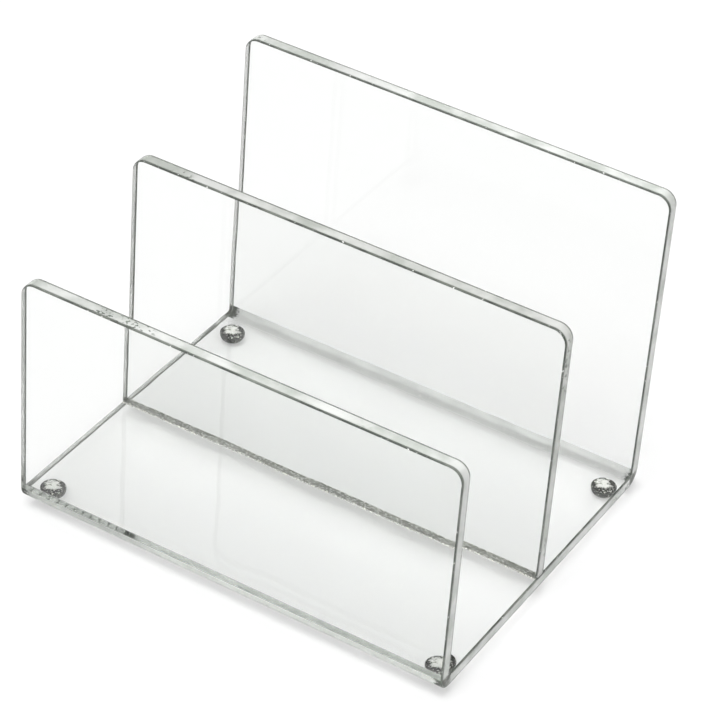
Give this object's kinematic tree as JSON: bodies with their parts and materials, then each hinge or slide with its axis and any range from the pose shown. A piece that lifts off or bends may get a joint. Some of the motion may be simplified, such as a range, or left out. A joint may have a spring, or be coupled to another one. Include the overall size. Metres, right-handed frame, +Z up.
{
  "type": "desktop file sorter",
  "caption": "Clear acrylic desktop file sorter: a bent tray whose low front and tall rear panels stand either side of an upright divider, on clear bumper feet.",
  "frame": {"origin": "on the desk top, under the middle of the sorter's footprint", "axes": "+X to the right along the panels' width, +Y from the low front panel to the tall rear panel, +Z up"},
  "size_m": [0.207, 0.168, 0.1558],
  "materials": {
    "clear_acrylic": "polished",
    "clear_polyurethane": "gloss"
  },
  "bodies": {
    "root": {"tray_body": "clear_acrylic", "middle_divider": "clear_acrylic", "foot_front_left": "clear_polyurethane", "foot_front_right": "clear_polyurethane", "foot_rear_left": "clear_polyurethane", "foot_rear_right": "clear_polyurethane"}
  },
  "joints": []
}
